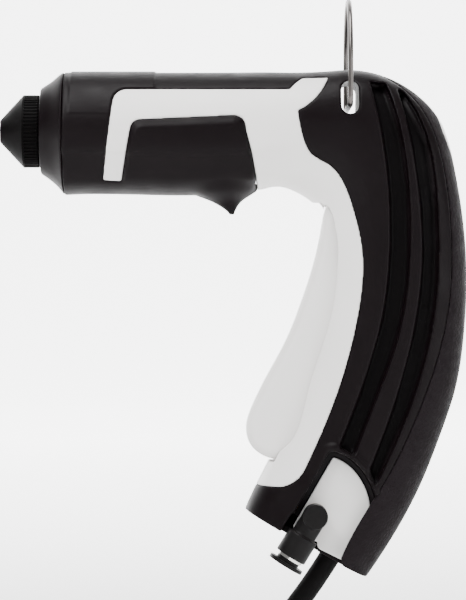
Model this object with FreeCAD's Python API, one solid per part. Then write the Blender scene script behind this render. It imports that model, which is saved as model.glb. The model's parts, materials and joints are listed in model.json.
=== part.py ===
import FreeCAD, Part
import math
import os

# Pneumatic hot-melt glue gun, hung from its suspension ring.
# Millimetres. +Z is up, the nozzle points to -X, the gun's left side faces -Y.
# The origin is the inside of the top of the suspension ring, where a hook carries the gun.

V = FreeCAD.Vector

# ---------------------------------------------------------------- driving dimensions

# barrel and nozzle
BARREL_Z = -51.8
BARREL_R = 24.5
BARREL_FRONT_X = -113.2
NOZZLE_Z = -50.8
NOSE_FRONT_X = -122.7
NOSE_FRONT_R = 17.0
CAP_R = 14.5
CAP_KNURL_LENGTH = 6.6
CAP_CONE_LENGTH = 9.2
CAP_TIP_R = 4.2
CAP_RIBS = 60
CAP_RIB_DEPTH = 0.45

# glue stick path
STICK_Z = -53.0
STICK_BORE_R = 6.15
ROD_Z = -65.5
CHAMBER_X = (-109.5, -50.0)
CHAMBER_R = 16.5
HEATER_R = 4.0
HEATER_Y = 10.4
HEATER_Z = -46.0

# walls and fits
BARREL_WALL = 2.2
HANDLE_WALL = 5.3
INLAY_DEPTH = 2.8
BOTTOM_WALL = 3.0
RUNNING_GAP = 0.05
SIDE_GAP = 0.4

# trigger
PIVOT = (-2.0, -80.0)
PIVOT_PIN_R = 2.0
TRIGGER_HALF = 9.5
TRIGGER_TIP_R = 105.3
TRIGGER_WALL = 2.2

# suspension
RING_WIRE_R = 1.0
RING_AXIS = (0.1, -41.4)
RING_HALF = 24.0
RING_TOP_Z = 1.0
RING_CORNER = 3.0
SLOT_HALF_WIDTH = 3.5
SLOT_Z = (-45.0, -31.6)

# air connection, axis of the swivel along Y
STUD = (-13.7, -203.1)
OUTLET_DIR = V(-0.526, 0, -0.850)
ELBOW_Y = -20.6
ELBOW_R = 4.9
COLLAR_R = 6.3
RELEASE_R = 7.2
AIR_TUBE_R = 4.0

# recess at the foot of the handle
PLATE_Y = (-14.0, -11.5)
RECESS_MARGIN = 2.6

# foot of the handle and cord
FOOT_DIR = V(-0.4895, 0, -0.8720)
CORD_R = 4.3
CORD_EXIT = V(-6.4, 4.5, -220.7)
CORD_INNER = 20.0
FLOOR_Z = -285.2
COIL_CENTRE = (-91.9, 61.1)
COIL_TURNS_R = (39.4, 48.0, 56.6)
COIL_LAYERS = 2
PLUG_PIN_R = 2.4
PLUG_PIN_PITCH = 19.0
PLUG_PIN_LENGTH = 19.0

# housing screws (x, z)
SCREWS = [(-34.5, -32.5), (30.5, -76.0), (29.6, -124.0), (17.0, -190.0), (-29.0, -196.5)]
SCREW_HEAD_Y = 11.6
POST_R = 3.2

# Sections of the body from the barrel to the foot of the handle:
# upper/rear point (x, z), lower/front point (x, z), half width, roundness power, wall.
STATIONS = [
    ((-113.2, -27.3), (-113.2, -76.3), 24.5, 2.00, BARREL_WALL),
    ((-79.2, -27.3), (-79.2, -76.3), 24.5, 2.00, BARREL_WALL),
    ((-53.2, -27.3), (-53.2, -76.2), 24.2, 2.05, BARREL_WALL),
    ((-31.2, -27.2), (-34.4, -74.0), 23.5, 2.10, 2.6),
    ((-11.2, -27.0), (-26.4, -73.1), 22.6, 2.20, 3.4),
    ((9.6, -27.4), (-18.4, -76.4), 21.8, 2.30, 4.6),
    ((25.6, -34.8), (-12.8, -80.8), 21.2, 2.40, HANDLE_WALL),
    ((36.8, -46.8), (-9.2, -87.0), 20.8, 2.50, HANDLE_WALL),
    ((42.8, -67.0), (-8.0, -96.2), 20.5, 2.55, HANDLE_WALL),
    ((46.2, -89.4), (-7.8, -103.0), 20.5, 2.60, HANDLE_WALL),
    ((47.3, -111.4), (-8.4, -112.2), 20.5, 2.60, HANDLE_WALL),
    ((46.2, -132.2), (-10.8, -125.4), 20.5, 2.60, HANDLE_WALL),
    ((43.2, -152.2), (-14.8, -140.2), 20.5, 2.60, HANDLE_WALL),
    ((37.2, -171.0), (-20.4, -158.2), 20.5, 2.60, HANDLE_WALL),
    ((27.8, -194.2), (-28.4, -175.4), 20.5, 2.60, HANDLE_WALL),
    ((18.0, -212.2), (-36.0, -190.2), 20.5, 2.60, HANDLE_WALL),
    ((7.2, -228.6), (-41.2, -201.4), 20.5, 2.60, HANDLE_WALL),
]
STATION_STEP = 11.0
SECTION_POINTS = 8
LOFT_DEGREE = 2

# Outlines in the side view. Each stretch is a list: two points are a line, more are a curve.
COVER_OUTLINE = [
    [(-97.2, -70.9), (-93.3, -40.5)],
    [(-93.3, -40.5), (-91.6, -36.8), (-88.2, -35.3)],
    [(-88.2, -35.3), (-23.6, -35.3)],
    [(-23.6, -35.3), (-21.6, -33.0), (-18.6, -30.6)],
    [(-18.6, -30.6), (-8.4, -30.4)],
    [(-8.4, -30.4), (-12.5, -37.5), (-20.6, -43.8)],
    [(-20.6, -43.8), (-18.2, -55.5), (-15.5, -60.6), (-8.0, -65.3), (-2.1, -73.1),
     (1.4, -82.9), (4.8, -98.6), (4.6, -114.3), (1.8, -130.7), (-3.3, -149.6),
     (-10.3, -168.4), (-17.0, -183.2)],
    [(-17.0, -183.2), (-21.0, -189.0), (-27.7, -191.9)],
    [(-27.7, -191.9), (-45.0, -191.9)],
    [(-45.0, -191.9), (-60.0, -150.0)],
    [(-60.0, -150.0), (-36.2, -90.0)],
    [(-36.2, -90.0), (-36.2, -73.4)],
    [(-36.2, -73.4), (-38.6, -60.3), (-40.9, -51.2)],
    [(-40.9, -51.2), (-42.2, -47.2), (-45.4, -45.7)],
    [(-45.4, -45.7), (-82.2, -47.4)],
    [(-82.2, -47.4), (-85.2, -48.5), (-86.4, -51.0)],
    [(-86.4, -51.0), (-90.1, -71.2)],
    [(-90.1, -71.2), (-97.2, -70.9)],
]
LIP_OUTLINE = [
    [(-60.0, -84.0), (-9.4, -84.0)],
    [(-9.4, -84.0), (-5.3, -90.9), (-4.5, -100.0), (-5.4, -114.2), (-9.3, -132.4),
     (-14.8, -148.8), (-19.0, -165.2), (-22.9, -173.9), (-26.8, -177.6), (-31.5, -180.4)],
    [(-31.5, -180.4), (-60.0, -180.4)],
    [(-60.0, -180.4), (-60.0, -84.0)],
]
GRIP_OUTLINE = [
    [(14.0, -20.0), (14.0, -29.6)],
    [(14.0, -29.6), (30.0, -45.0), (37.2, -66.0), (40.2, -97.3), (39.4, -118.0),
     (34.0, -143.0), (25.5, -166.0), (15.0, -187.5), (3.0, -207.0), (-3.5, -220.0)],
    [(-3.5, -220.0), (2.0, -245.0)],
    [(2.0, -245.0), (70.0, -200.0)],
    [(70.0, -200.0), (70.0, -20.0)],
    [(70.0, -20.0), (14.0, -20.0)],
]
GROOVE_OUTLINES = [
    [
        [(7.8, -31.8), (12.4, -52.6), (15.4, -78.9), (15.6, -98.0), (12.4, -126.1),
         (3.9, -154.7), (-4.6, -176.5)],
        [(-4.6, -176.5), (1.4, -180.2)],
        [(1.4, -180.2), (9.1, -160.1), (20.3, -127.2), (23.6, -98.0), (23.2, -73.7),
         (20.3, -52.6), (14.4, -32.5)],
        [(14.4, -32.5), (7.8, -31.8)],
    ],
    [
        [(18.9, -34.4), (24.2, -56.5), (27.7, -81.6), (28.4, -100.0), (24.8, -131.2),
         (17.0, -160.1), (7.1, -186.2)],
        [(7.1, -186.2), (9.8, -192.0)],
        [(9.8, -192.0), (22.9, -162.6), (32.0, -131.2), (35.0, -100.0), (34.6, -81.6),
         (31.4, -56.5), (21.6, -35.7)],
        [(21.6, -35.7), (18.9, -34.4)],
    ],
]
PLATE_OUTLINE = [
    [(-6.5, -180.3), (-22.2, -207.4)],
    [(-22.2, -207.4), (-20.8, -209.9), (-12.6, -213.6)],
    [(-12.6, -213.6), (-12.4, -215.9), (-10.8, -217.1)],
    [(-10.8, -217.1), (0.0, -222.4)],
    [(0.0, -222.4), (4.6, -214.1), (8.0, -203.4), (8.0, -198.7), (4.6, -189.4),
     (-1.0, -183.0), (-6.5, -180.3)],
]
TRIGGER_FRONT = [(-9.8, -84.0), (-11.2, -92.0), (-14.2, -105.0), (-18.8, -119.0), (-25.0, -134.5),
                 (-32.0, -147.5), (-38.0, -159.5), (-40.8, -169.5), (-39.2, -175.5),
                 (-35.5, -179.2), (-31.0, -181.2)]
TRIGGER_REAR = [(-14.0, -184.6), (-14.0, -170.0), (-12.0, -158.0), (-7.0, -142.0), (-2.2, -125.0),
                (0.6, -108.0), (1.8, -94.0), (2.4, -84.0)]

# ---------------------------------------------------------------- helpers


def xz(point, y=0.0):
    return V(point[0], y, point[1])


def stretch_edge(points):
    """A line through two points, or a smooth curve through more."""
    spots = [xz(p) for p in points]
    if len(spots) == 2:
        return Part.LineSegment(spots[0], spots[1]).toShape()
    curve = Part.BSplineCurve()
    curve.interpolate(spots)
    return curve.toShape()


def side_prism(stretches, y0, y1):
    """Extrude a closed side-view outline from y0 to y1."""
    wire = Part.Wire([stretch_edge(points) for points in stretches])
    face = Part.Face(wire)
    face.translate(V(0, y0, 0))
    return face.extrude(V(0, y1 - y0, 0))


def polygon_prism(corners, y0, y1):
    closed = [xz(c, y0) for c in corners] + [xz(corners[0], y0)]
    return Part.Face(Part.makePolygon(closed)).extrude(V(0, y1 - y0, 0))


def rod(start, end, radius):
    axis = end - start
    return Part.makeCylinder(radius, axis.Length, start, axis)


def rod_y(point, y0, y1, radius):
    return Part.makeCylinder(radius, y1 - y0, xz(point, y0), V(0, 1, 0))


def rod_x(x0, x1, radius, z, y=0.0):
    return Part.makeCylinder(radius, x1 - x0, V(x0, y, z), V(1, 0, 0))


def box(x0, x1, y0, y1, z0, z1):
    return Part.makeBox(x1 - x0, y1 - y0, z1 - z0, V(x0, y0, z0))


def revolve_x(profile, z, y=0.0):
    """Turn (x, r) points round the X axis line at height z."""
    points = [V(x, y, z + r) for x, r in profile]
    face = Part.Face(Part.makePolygon(points + points[:1]))
    return face.revolve(V(0, y, z), V(1, 0, 0), 360)


def fuse(shapes):
    first, rest = shapes[0], shapes[1:]
    return first.multiFuse(rest).removeSplitter() if rest else first


def keep_solids(shape, smallest=5.0):
    """Drop crumbs that a cut leaves behind."""
    solids = [s for s in shape.Solids if s.Volume > smallest]
    return solids[0] if len(solids) == 1 else Part.Compound(solids)


def save(name, shape):
    shape = keep_solids(shape, 0.3)
    solids = shape.Solids
    volume = sum(s.Volume for s in solids)
    valid = all(s.isValid() for s in solids)
    print(f"{name:20s} solids {len(solids)}  volume {volume:10.1f}  valid {valid}")
    shape.exportStep(f"parts/{name}.step")


def path_wire(points, report=None):
    """Straight runs joined by tangent arcs, each as large as its two runs allow."""
    edges = []
    start = points[0]
    length = 0.0
    for before, corner, after in zip(points, points[1:], points[2:]):
        back = (before - corner)
        ahead = (after - corner)
        shorter = min(back.Length, ahead.Length)
        half_turn = (math.pi - back.getAngle(ahead)) / 2
        cut = 0.45 * shorter
        radius = cut / math.tan(half_turn)
        entry = corner + back.normalize() * cut
        leave = corner + ahead.normalize() * cut
        bisector = (back + ahead).normalize()
        centre = corner + bisector * (radius / math.cos(half_turn))
        middle = centre - bisector * radius
        edges.append(Part.LineSegment(start, entry).toShape())
        edges.append(Part.Arc(entry, middle, leave).toShape())
        start = leave
        if report:
            print(f"{report}: turn {math.degrees(2 * half_turn):5.1f} deg, radius {radius:6.1f} mm")
    edges.append(Part.LineSegment(start, points[-1]).toShape())
    return Part.Wire(edges)


def tube_along(points, radius, bore=0.0, report=None):
    wire = path_wire(points, report)
    direction = points[1] - points[0]
    profiles = [Part.Wire(Part.makeCircle(r, points[0], direction)) for r in (radius, bore) if r]
    solids = [wire.makePipeShell([p], True, False) for p in profiles]
    if report:
        ideal = math.pi * radius ** 2 * wire.Length
        print(f"{report}: length {wire.Length:.1f} mm, volume / ideal {solids[0].Volume / ideal:.4f}")
    return solids[0].cut(solids[1]) if bore else solids[0]


def coil_spring(start, direction, length, mean_r, wire_r, turns):
    """A helical spring along a direction, open at both ends."""
    pitch = (length - 2 * wire_r) / turns
    helix = Part.Wire(Part.makeHelix(pitch, pitch * turns, mean_r))
    profile = Part.Wire(Part.makeCircle(wire_r, V(mean_r, 0, 0), V(0, 1, 0)))
    spring = helix.makePipeShell([profile], True, True)
    spring.translate(V(0, 0, wire_r))
    spring.Placement = FreeCAD.Placement(start, FreeCAD.Rotation(V(0, 0, 1), direction))
    return spring


# ---------------------------------------------------------------- body shapes


def edge_curve(index):
    """Smooth line through one side of all the stations."""
    curve = Part.BSplineCurve()
    curve.interpolate([xz(station[index]) for station in STATIONS])
    return curve


def close_stations():
    """Stations about STATION_STEP apart, read off the two smooth edge lines."""
    upper, lower = edge_curve(0), edge_curve(1)
    result = []
    for here, ahead in zip(STATIONS, STATIONS[1:]):
        middle_step = (xz(ahead[0]) + xz(ahead[1]) - xz(here[0]) - xz(here[1])).Length / 2
        count = max(1, round(middle_step / STATION_STEP))
        spans = [(line.parameter(xz(here[k])), line.parameter(xz(ahead[k])))
                 for k, line in enumerate((upper, lower))]
        for step in range(count):
            part = step / count
            points = [line.value(a + (b - a) * part) for line, (a, b) in zip((upper, lower), spans)]
            sizes = [a + (b - a) * part for a, b in zip(here[2:], ahead[2:])]
            result.append((points[0], points[1], *sizes))
    last = STATIONS[-1]
    result.append((xz(last[0]), xz(last[1]), *last[2:]))
    return result


def section_wire(upper, lower, half_width, power):
    """Closed rounded section through two points of the side view, in two halves."""
    centre = (upper + lower) * 0.5
    rise_axis = (upper - lower) * 0.5
    unit = V(rise_axis).normalize()
    edges = []
    for half in (0, 1):
        points = []
        for step in range(SECTION_POINTS + 1):
            angle = math.pi * (half + step / SECTION_POINTS)
            across = round(math.cos(angle), 9)
            along = round(math.sin(angle), 9)
            side = math.copysign(abs(across) ** (2 / power), across)
            rise = math.copysign(abs(along) ** (2 / power), along)
            points.append(centre + rise_axis * rise + V(0, half_width * side, 0))
        tangent = unit * (1 - 2 * half)
        curve = Part.BSplineCurve()
        curve.interpolate(Points=points, InitialTangent=tangent, FinalTangent=tangent * -1)
        edges.append(curve.toShape())
    return Part.Wire(edges)


def body_loft(inset, front_extra=0.0, foot_wall=0.0):
    """The body's outer form pulled in by inset(wall) at every station."""
    wires = []
    for upper, lower, half_width, power, wall in close_stations():
        depth = inset(wall)
        inward = V(lower - upper).normalize() * depth
        wires.append(section_wire(upper + inward, lower - inward, half_width - depth, power))
    if front_extra:
        wires[0].translate(V(-front_extra, 0, 0))
    if foot_wall:
        wires[-1].translate(FOOT_DIR * -foot_wall)
    return Part.makeLoft(wires, True, False, False, LOFT_DEGREE)


def guard_hook():
    """Pointed finger guard under the barrel, thinning to its tip."""
    levels = [(-68.0, -51.0, 17.0, 16.0), (-74.0, -50.4, 14.6, 13.0), (-76.4, -50.0, 11.0, 9.4),
              (-78.4, -48.9, 6.9, 6.0), (-80.4, -47.8, 4.0, 3.5), (-82.4, -46.9, 2.1, 1.9),
              (-84.2, -46.4, 1.0, 0.8)]
    wires = []
    for z, x, half_length, half_width in levels:
        ring = Part.Ellipse(V(x + half_length, 0, z), V(x, half_width, z), V(x, 0, z))
        wires.append(Part.Wire([ring.toShape()]))
    return Part.makeLoft(wires, True, False)


def slot_prism(grow, half_length):
    """Oblong through-slot for the ring, grown by a wall."""
    r = SLOT_HALF_WIDTH + grow
    low = (RING_AXIS[0], SLOT_Z[0] + SLOT_HALF_WIDTH)
    high = (RING_AXIS[0], SLOT_Z[1] - SLOT_HALF_WIDTH)
    middle = box(low[0] - r, low[0] + r, -half_length, half_length, low[1], high[1])
    return fuse([middle, rod_y(low, -half_length, half_length, r),
                 rod_y(high, -half_length, half_length, r)])


def recess_outline(margin):
    """Plate outline pushed out by a margin, as one face on the XZ plane."""
    face = Part.Face(Part.Wire([stretch_edge(points) for points in PLATE_OUTLINE]))
    if not margin:
        return face
    edges = []
    for edge in face.makeOffset2D(margin).OuterWire.OrderedEdges:
        spots = edge.discretize(2 if edge.Curve.TypeId == "Part::GeomLine" else 9)
        edges.append(stretch_edge([(spot.x, spot.z) for spot in spots]))
    return Part.Face(Part.Wire(Part.__sortEdges__(edges)))


def recess_prism(margin, y0, y1):
    face = recess_outline(margin)
    face.translate(V(0, y0, 0))
    return face.extrude(V(0, y1 - y0, 0))


def elbow_notch(y0, y1):
    """Way out through the bottom wall for the air elbow."""
    across = V(-OUTLET_DIR.z, 0, OUTLET_DIR.x)
    half = COLLAR_R + 2.0
    near = xz(STUD) + OUTLET_DIR * 4
    far = xz(STUD) + OUTLET_DIR * 26
    corners = [near + across * half, far + across * half, far - across * half, near - across * half]
    return polygon_prism([(c.x, c.z) for c in corners], y0, y1)


def trigger_pocket():
    """Space that the trigger and its arm sweep, open to the front."""
    half = TRIGGER_HALF + SIDE_GAP
    wheel = rod_y(PIVOT, -half, half, TRIGGER_TIP_R + 0.8)
    front = polygon_prism([(-62, -82), (-9, -79), (6.4, -88), (9.5, -110), (9.5, -130),
                           (8.0, -160), (8.0, -190), (-62, -190)], -half, half)
    arm_room = box(-9.2, 9.0, -11.6, 11.6, -104.0, -60.0)
    return fuse([wheel.common(front), arm_room])


# ---------------------------------------------------------------- parts


def right_side():
    return box(-200, 100, 0, 60, -320, 40)


def mirrored(shape):
    return shape.mirror(V(0, 0, 0), V(0, 1, 0))


def make_half(shell, cover_zone, grip_zone, inlay, within_wall):
    """Right half of the black housing and of the white cover, before side-specific cuts."""
    half_shell = shell.common(right_side())
    cover = keep_solids(half_shell.common(cover_zone), 200)
    boss = rod_y(PIVOT, 11.7, 30, 4.2).common(within_wall)
    cover = fuse([cover, boss]).cut(rod_y(PIVOT, 0, 16, PIVOT_PIN_R))
    black = half_shell.cut(cover_zone).cut(grip_zone)
    for outline in GROOVE_OUTLINES:
        black = black.cut(side_prism(outline, 0, 40).cut(inlay))
    posts = [rod_y(s, 0, 30, POST_R).common(within_wall) for s in SCREWS]
    barrel_inside = rod_x(-110, -20, BARREL_R - BARREL_WALL + 0.2, BARREL_Z)
    hook = guard_hook().cut(barrel_inside).common(right_side()).cut(cover_zone)
    return keep_solids(fuse([black, hook] + posts), 200), cover


def make_body():
    outer = body_loft(lambda wall: 0.0)
    inlay = body_loft(lambda wall: INLAY_DEPTH, 2.0, -2.0)
    within_wall = body_loft(lambda wall: wall / 2, 1.0, 1.0)
    hollow = body_loft(lambda wall: wall, 2.0, BOTTOM_WALL)
    slot_wall = slot_prism(1.4, 30).common(within_wall)
    shell = fuse([outer.cut(hollow), slot_wall]).cut(slot_prism(0.0, 40))
    shell = shell.cut(side_prism(LIP_OUTLINE, -40, 40)).cut(trigger_pocket())
    shell = shell.cut(rod_x(20, 70, STICK_BORE_R + 2.6, STICK_Z))

    cover_zone = side_prism(COVER_OUTLINE, -40, 40)
    grip_zone = side_prism(GRIP_OUTLINE, -40, 40).cut(inlay)
    head_room = rod_y(SCREWS[3], SCREW_HEAD_Y - 0.1, 30, 3.1)
    grip_half = keep_solids(shell.common(grip_zone).common(right_side()), 200)
    save("back_grip", fuse([grip_half.cut(head_room), mirrored(grip_half)]))
    black, cover = make_half(shell, cover_zone, grip_zone, inlay, within_wall)
    save("right_cover", cover)
    save("left_cover", mirrored(cover))

    gland_hole = rod(CORD_EXIT + FOOT_DIR * 5, CORD_EXIT - FOOT_DIR * 8, 7.0)
    right = black.cut(gland_hole)
    for s in SCREWS:
        right = right.cut(rod_y(s, -0.1, 30, 1.7)).cut(rod_y(s, SCREW_HEAD_Y - 0.1, 30, 3.1))
    save("right_housing", right)

    # The left half is worked on as its mirror image and turned over at the end.
    plate_outer, plate_inner = -PLATE_Y[0], -PLATE_Y[1]
    frame = recess_prism(RECESS_MARGIN + 1.8, plate_inner, 25).common(within_wall).cut(grip_zone)
    left = fuse([black, frame])
    left = left.cut(recess_prism(RECESS_MARGIN, plate_outer - 0.8, 40))
    left = left.cut(recess_prism(0.0, 0, 40)).cut(elbow_notch(plate_inner - 1.0, 40))
    left = left.cut(mirrored(gland_hole))
    for s in SCREWS:
        left = left.cut(rod_y(s, -0.1, 10, 1.5))
    save("left_housing", mirrored(keep_solids(left, 200)))
    inlet = rod_x(33, 60, STICK_BORE_R + 2.5, STICK_Z).common(outer)
    save("inlet_ring", inlet.cut(rod_x(20, 70, STICK_BORE_R, STICK_Z)))


def make_connector_plate():
    plate = recess_prism(0.0, PLATE_Y[0], PLATE_Y[1])
    save("connector_plate", plate.cut(rod_y(STUD, -30, 0, 4.0)))


def make_nose():
    """Front collar: flares from its flat face to the barrel."""
    wires = []
    for x, r, z in [(BARREL_FRONT_X - 0.1, BARREL_R, BARREL_Z), (-114.6, 23.4, -51.2),
                    (-117.6, 20.6, -50.9), (-120.6, 18.4, NOZZLE_Z), (NOSE_FRONT_X, NOSE_FRONT_R, NOZZLE_Z)]:
        wires.append(Part.Wire(Part.makeCircle(r, V(x, 0, z), V(1, 0, 0))))
    flare = Part.makeLoft(wires, True, False)
    spigot = rod_x(BARREL_FRONT_X - 0.1, BARREL_FRONT_X + 2.6, BARREL_R - BARREL_WALL - 0.4, BARREL_Z)
    nose = fuse([flare, spigot])
    save("barrel_nose", nose.cut(rod_x(-130, -105, 11.6, NOZZLE_Z)))


def make_cap():
    front = NOSE_FRONT_X - 0.3
    knurl_front = front - CAP_KNURL_LENGTH
    tip = knurl_front - CAP_CONE_LENGTH
    body = revolve_x([(front, 7.6), (front, CAP_R - 0.6), (front - 0.6, CAP_R), (knurl_front, CAP_R),
                      (tip, CAP_TIP_R + 0.5), (tip, 4.55), (knurl_front + 1.5, 4.55),
                      (knurl_front + 1.5, 7.6)], NOZZLE_Z)
    grooves = []
    for rib in range(CAP_RIBS):
        angle = 2 * math.pi * rib / CAP_RIBS
        y = CAP_R * math.cos(angle)
        z = NOZZLE_Z + CAP_R * math.sin(angle)
        grooves.append(rod_x(knurl_front + 0.7, front + 0.2, CAP_RIB_DEPTH, z, y))
    save("nozzle_cap", body.cut(Part.Compound(grooves)))
    return tip


def make_nozzle(cap_tip):
    """Turned nozzle with a hexagon in front, its inner bore holds the check valve."""
    stem = revolve_x([(-112.0, 2.0), (-112.0, 6.0), (-110.4, 6.0), (-110.4, 7.3), (-123.0, 7.3),
                      (-123.0, 4.2), (cap_tip - 1.2, 4.2), (cap_tip - 1.2, 0.9), (-134.0, 0.9),
                      (-132.0, 2.9), (-114.0, 2.9), (-114.0, 2.0)], NOZZLE_Z)
    corners = []
    for step in range(6):
        angle = math.radians(60 * step + 30)
        corners.append(V(cap_tip - 1.2, 4.5 * math.cos(angle), NOZZLE_Z + 4.5 * math.sin(angle)))
    hexagon = Part.Face(Part.makePolygon(corners + corners[:1])).extrude(V(-3.4, 0, 0))
    point = revolve_x([(cap_tip - 4.6, 0.0), (cap_tip - 4.6, 3.4), (cap_tip - 8.0, 1.5),
                       (cap_tip - 8.0, 0.0)], NOZZLE_Z)
    orifice = rod_x(cap_tip - 10, cap_tip + 4, 0.9, NOZZLE_Z)
    save("nozzle", fuse([stem, hexagon, point]).cut(orifice))
    save("check_ball", Part.makeSphere(2.2, V(-115.2, 0, NOZZLE_Z)))
    save("check_spring", coil_spring(V(-118.6, 0, NOZZLE_Z), V(-1, 0, 0), 12.8, 1.9, 0.3, 7))


def make_chamber():
    x0, x1 = CHAMBER_X
    block = rod_x(x0, x1, CHAMBER_R, BARREL_Z)
    bore = revolve_x([(x0 + 8, 0), (x0 + 16, 6.5), (x1 + 1, 6.5), (x1 + 1, 0)], STICK_Z)
    outlet = rod_x(x0 - 1, x0 + 12, 2.0, NOZZLE_Z)
    heaters = []
    block = block.cut(bore).cut(outlet)
    for side in (-1, 1):
        y = side * HEATER_Y
        block = block.cut(rod_x(x0 + 10, x1 + 1, HEATER_R + 0.1, HEATER_Z, y))
        heaters.append(rod_x(x0 + 10.3, x1 + 1.5, HEATER_R, HEATER_Z, y))
    save("melt_chamber", block)
    save("heater_cartridges", Part.Compound(heaters))
    sleeve = rod_x(x0, x1, 19.2, BARREL_Z).cut(rod_x(x0 - 1, x1 + 1, CHAMBER_R + 0.2, BARREL_Z))
    save("insulation_sleeve", sleeve)
    rear = rod_x(x1 + 1.6, x1 + 4.6, 21.2, BARREL_Z).cut(rod_x(x1, x1 + 6, 7.8, STICK_Z))
    for y, z in [(12.0, -60.3), (-11.8, -68.4)]:
        rear = rear.cut(rod_x(x1, x1 + 6, 3.2, z, y))
    for side in (-1, 1):
        rear = rear.cut(rod_x(x1, x1 + 6, 2.2, HEATER_Z, side * HEATER_Y))
    save("rear_support", rear)
    sleeve_profile = [(x1 + 0.3, STICK_BORE_R), (x1 + 0.3, 7.6), (-26.0, 7.6), (-24.0, 7.2),
                      (-24.0, STICK_BORE_R + 1.0), (-26.0, STICK_BORE_R)]
    save("inlet_sleeve", revolve_x(sleeve_profile, STICK_Z))
    thermostat = fuse([rod_x(x1 + 4.7, x1 + 9.5, 4.6, -36.5), rod_x(x1 + 9.5, x1 + 11.0, 3.0, -36.5)])
    save("thermostat", thermostat)
    save("thermal_fuse", rod_x(x1 + 5.0, x1 + 13.0, 1.7, -41.5, 10.5))


def make_feed():
    rods = [rod_x(-28.0, 16.0, 1.5, ROD_Z, y) for y in (-5.0, 5.0)]
    save("guide_rods", Part.Compound(rods))
    carriage = box(-12.0, 6.0, -9.3, 9.3, -68.4, -51.0)
    carriage = carriage.cut(rod_x(-20, 20, STICK_BORE_R + 0.25, STICK_Z))
    carriage = carriage.cut(box(-20, 20, -STICK_BORE_R - 0.25, STICK_BORE_R + 0.25, STICK_Z, -40))
    for y in (-5.0, 5.0):
        carriage = carriage.cut(rod_x(-20, 20, 1.5 + RUNNING_GAP, ROD_Z, y))
    for y0, y1 in ((-10.0, -6.8), (6.8, 10.0)):
        carriage = carriage.cut(box(-3.7, -0.3, y0, y1, -56.6, -50.0))
    jaw_seat = box(-7.0, 1.0, -3.0, 3.0, -61.6, -56.0)
    carriage = carriage.cut(jaw_seat)
    save("feed_carriage", carriage)
    jaw = box(-6.9, 0.9, -2.9, 2.9, -61.5, -59.3)
    for tooth in range(5):
        x = -6.5 + 1.5 * tooth
        jaw = jaw.cut(polygon_prism([(x, -59.2), (x + 1.0, -59.2), (x + 1.0, -60.1)], -4, 4))
    save("grip_jaw", jaw)
    save("carriage_spring", coil_spring(V(-12.7, 0, ROD_Z), V(-1, 0, 0), 13.6, 2.2, 0.35, 7))
    guide = rod_x(13.0, 33.0, 7.2, STICK_Z).cut(rod_x(10, 50, STICK_BORE_R, STICK_Z))
    rod_bracket = box(13.0, 16.0, -8.6, 8.6, -68.6, -56.0)
    for y in (-5.0, 5.0):
        rod_bracket = rod_bracket.cut(rod_x(10, 20, 1.5, ROD_Z, y))
    rod_bracket = rod_bracket.cut(rod_x(10, 50, 7.0, STICK_Z))
    save("stick_guide", fuse([guide, rod_bracket]))
    front_bracket = box(-30.0, -27.0, -8.8, 8.8, -68.5, -60.2).cut(rod_x(-40, 0, 8.9, STICK_Z))
    for y in (-5.0, 5.0):
        front_bracket = front_bracket.cut(rod_x(-28.0, -20, 1.5, ROD_Z, y))
    save("rod_bracket", front_bracket)


def trigger_outline(points_front, points_rear):
    wire = Part.Wire([stretch_edge(points_front),
                      stretch_edge([points_front[-1], points_rear[0]]),
                      stretch_edge(points_rear),
                      stretch_edge([points_rear[-1], (1.6, -77.0)]),
                      stretch_edge([(1.6, -77.0), (-7.5, -77.0)]),
                      stretch_edge([(-7.5, -77.0), points_front[0]])])
    return Part.Face(wire)


def make_trigger():
    face = trigger_outline(TRIGGER_FRONT, TRIGGER_REAR)
    face.translate(V(0, -TRIGGER_HALF, 0))
    block = face.extrude(V(0, 2 * TRIGGER_HALF, 0))
    front_edges = []
    for edge in block.Edges:
        middle = edge.valueAt((edge.FirstParameter + edge.LastParameter) / 2)
        if abs(abs(middle.y) - TRIGGER_HALF) < 0.01 and edge.Length > 90 and middle.x < -15:
            front_edges.append(edge)
    try:
        block = block.makeFillet(4.0, front_edges)
    except Exception as error:
        print("trigger fillet failed:", error)
    core = [(x + 4.2, z + 0.5) for x, z in TRIGGER_FRONT[1:8]]
    hollow = [core, [core[-1], (-30.0, -177.0)], [(-30.0, -177.0), (-5.0, -180.5)],
              [(-5.0, -180.5), (15.0, -150.0)], [(15.0, -150.0), (15.0, -90.0)],
              [(15.0, -90.0), core[0]]]
    inner = TRIGGER_HALF - TRIGGER_WALL
    trigger = block.cut(side_prism(hollow, -inner, inner))
    trigger = trigger.cut(rod_y(PIVOT, -20, 20, PIVOT_PIN_R + RUNNING_GAP))
    save("trigger", trigger)

    plates = []
    for side in (-1, 1):
        y0, y1 = sorted((side * 9.7, side * 11.2))
        plates.append(polygon_prism([(-6.0, -78.0), (-5.0, -51.0), (1.0, -51.0), (1.4, -76.0),
                                     (2.6, -84.0), (4.0, -90.0), (4.0, -100.0), (2.4, -100.0),
                                     (2.4, -91.0), (0.5, -85.5), (-5.2, -84.5)], y0, y1))
        pin0, pin1 = sorted((side * 7.2, side * 10.0))
        plates.append(rod_y((-2.0, -53.5), pin0, pin1, 1.5))
    bridge = box(2.4, 4.0, -11.2, 11.2, -100.0, -92.0)
    arm = fuse(plates + [bridge]).cut(rod_y(PIVOT, -20, 20, PIVOT_PIN_R + RUNNING_GAP))
    save("trigger_arm", arm)
    save("trigger_pin", rod_y(PIVOT, -15.9, 15.9, PIVOT_PIN_R))
    save("trigger_spring", coil_spring(V(-3.4, 0, -133.0), V(1, 0, 0), 15.5, 3.6, 0.5, 6))
    seat = fuse([box(12.4, 14.4, -15.0, 6.0, -139.0, -127.0), rod_x(9.6, 12.5, 2.6, -133.0)])
    save("spring_seat", seat)


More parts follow.
